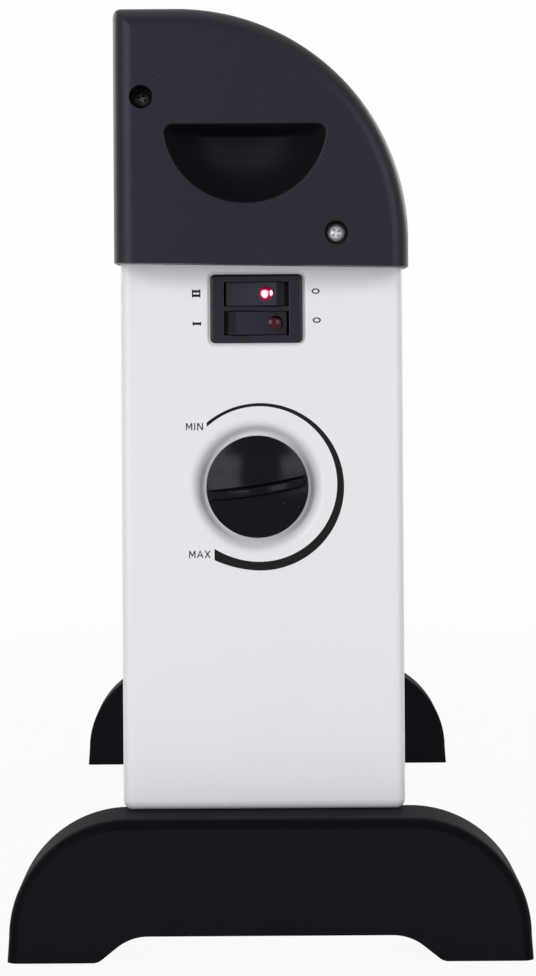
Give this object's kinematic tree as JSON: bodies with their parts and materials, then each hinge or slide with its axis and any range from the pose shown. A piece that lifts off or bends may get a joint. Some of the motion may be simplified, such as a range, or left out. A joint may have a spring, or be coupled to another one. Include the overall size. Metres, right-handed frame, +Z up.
{
  "type": "convector heater",
  "caption": "Freestanding convector heater: a curved white steel body with black end caps and feet, a twin rocker switch and a thermostat knob on one end.",
  "frame": {"origin": "on the floor under the middle of the feet", "axes": "+X along the heater away from the controls, -Y the way the curved front faces, +Z up"},
  "size_m": [0.58, 0.2124, 0.385],
  "materials": {
    "white_steel": "satin powder coat",
    "black_plastic": "fine grained moulding",
    "knob_plastic": "fine satin moulding",
    "plated_steel": "zinc plated",
    "brass": "plain",
    "mica": "pressed mica sheet",
    "ceramic": "unglazed steatite",
    "resistance_alloy": "dull heated ribbon",
    "red_lens_lit": "clear red, lit",
    "red_lens_dark": "clear red, unlit",
    "lamp_glass": "clear",
    "brown_wire": "insulation",
    "black_wire": "insulation",
    "blue_wire": "insulation",
    "green_yellow_wire": "insulation"
  },
  "bodies": {
    "housing": {"control_end_panel": "white_steel", "plain_end_panel": "white_steel", "front_panel": "white_steel", "rear_panel": "white_steel", "outlet_grille": "white_steel", "base_tray": "white_steel", "control_end_cap": "black_plastic", "plain_end_cap": "black_plastic", "control_end_foot": "black_plastic", "plain_end_foot": "black_plastic", "cap_screws": "plated_steel", "foot_screws": "plated_steel", "panel_screws": "plated_steel", "control_bulkhead": "plated_steel", "far_bulkhead": "plated_steel", "heat_shield": "plated_steel", "element_rails": "plated_steel", "mica_supports": "mica", "low_heating_ribbon": "resistance_alloy", "high_heating_ribbon": "resistance_alloy", "ceramic_bushes": "ceramic", "element_studs": "plated_steel", "return_rod": "plated_steel", "element_link": "plated_steel", "thermal_cutout": "black_plastic", "cutout_tabs": "brass", "thermostat_body": "ceramic", "thermostat_bushing": "brass", "thermostat_nut": "plated_steel", "thermostat_bimetal": "brass", "thermostat_leaf": "brass", "thermostat_tabs": "brass", "switch_housing": "knob_plastic", "switch_tabs": "brass", "terminal_block": "ceramic", "terminal_screws": "brass", "cord_gland": "black_plastic", "gland_nut": "black_plastic", "supply_wire": "brown_wire", "cutout_wire": "brown_wire", "switch_feed_wires": "brown_wire", "switched_wires": "black_wire", "neutral_wire": "blue_wire", "earth_wire": "green_yellow_wire", "earth_screw": "brass"},
    "knob": {"thermostat_knob": "knob_plastic", "thermostat_spindle": "plated_steel"},
    "high_rocker": {"rocker_high": "knob_plastic", "lamp_lens_high": "red_lens_lit", "neon_high": "lamp_glass"},
    "low_rocker": {"rocker_low": "knob_plastic", "lamp_lens_low": "red_lens_dark", "neon_low": "lamp_glass"},
    "high_lever": {"switch_contact_high": "brass"},
    "low_lever": {"switch_contact_low": "brass"}
  },
  "joints": [
    {"name": "thermostat_turn", "type": "hinge", "parent": "housing", "child": "knob", "pos_m": [-0.2604, 0.0042, 0.18995], "axis": [-1, 0, 0], "range_deg": [-133, 122]},
    {"name": "high_rocker_tilt", "type": "hinge", "parent": "housing", "child": "high_rocker", "pos_m": [-0.2579, 0.0042, 0.2691], "axis": [0, 0, 1], "range_deg": [0, 24]},
    {"name": "low_rocker_tilt", "type": "hinge", "parent": "housing", "child": "low_rocker", "pos_m": [-0.2579, 0.0042, 0.2572], "axis": [0, 0, 1], "range_deg": [-24, 0]},
    {"name": "high_lever_tilt", "type": "hinge", "parent": "housing", "child": "high_lever", "pos_m": [-0.2499, 0.0042, 0.2691], "axis": [0, 0, 1], "range_deg": [-14.4, 0]},
    {"name": "low_lever_tilt", "type": "hinge", "parent": "housing", "child": "low_lever", "pos_m": [-0.2499, 0.0042, 0.2572], "axis": [0, 0, 1], "range_deg": [0, 14.4]}
  ],
  "couplings": [
    {"joint": "high_lever_tilt", "follows": "high_rocker_tilt", "ratio": -0.6},
    {"joint": "low_lever_tilt", "follows": "low_rocker_tilt", "ratio": -0.6}
  ]
}
